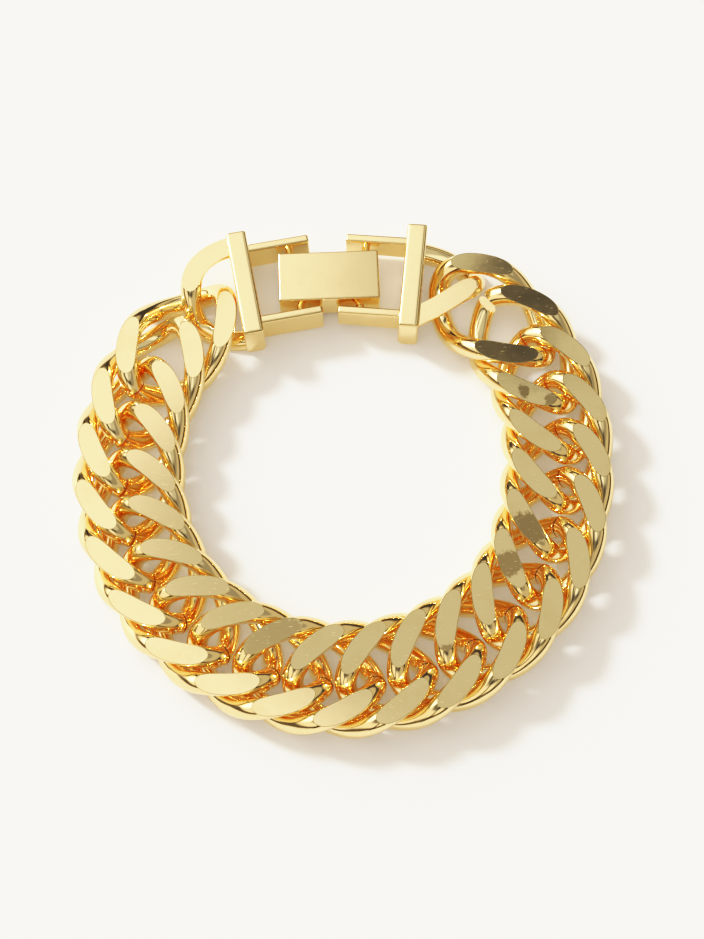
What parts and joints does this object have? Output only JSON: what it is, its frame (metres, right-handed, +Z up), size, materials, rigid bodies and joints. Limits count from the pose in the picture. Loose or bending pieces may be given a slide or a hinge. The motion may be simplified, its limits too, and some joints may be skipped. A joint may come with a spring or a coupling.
{
  "type": "cuban link bracelet",
  "caption": "Fastened double curb chain bracelet of pale gold-coloured metal, with filed flat links and a hinged block clasp between two barred frames, lying flat in a ring.",
  "frame": {"origin": "on the resting surface, under the centre of the bounding box", "axes": "+Z up from the surface, +Y from the ring's middle towards the clasp, +X to the right as pictured"},
  "size_m": [0.0801, 0.0785, 0.0069],
  "materials": {
    "chain_metal": "polished pale gold plating, worn on some flats",
    "clasp_metal": "polished pale gold plating"
  },
  "bodies": {
    "bracelet": {"link_01": "chain_metal", "link_02": "chain_metal", "link_03": "chain_metal", "link_04": "chain_metal", "link_05": "chain_metal", "link_06": "chain_metal", "link_07": "chain_metal", "link_08": "chain_metal", "link_09": "chain_metal", "link_10": "chain_metal", "link_11": "chain_metal", "link_12": "chain_metal", "link_13": "chain_metal", "link_14": "chain_metal", "link_15": "chain_metal", "link_16": "chain_metal", "link_17": "chain_metal", "link_18": "chain_metal", "link_19": "chain_metal", "link_20": "chain_metal", "link_21": "chain_metal", "clasp_left_frame": "clasp_metal", "clasp_right_frame": "clasp_metal"},
    "block": {"clasp_block": "clasp_metal"}
  },
  "joints": [
    {"name": "block_hinge", "type": "hinge", "parent": "bracelet", "child": "block", "pos_m": [0.00393, 0.0314, 0.0033], "axis": [0.1311, 0.9914, 0], "range_deg": [0, 100]}
  ]
}
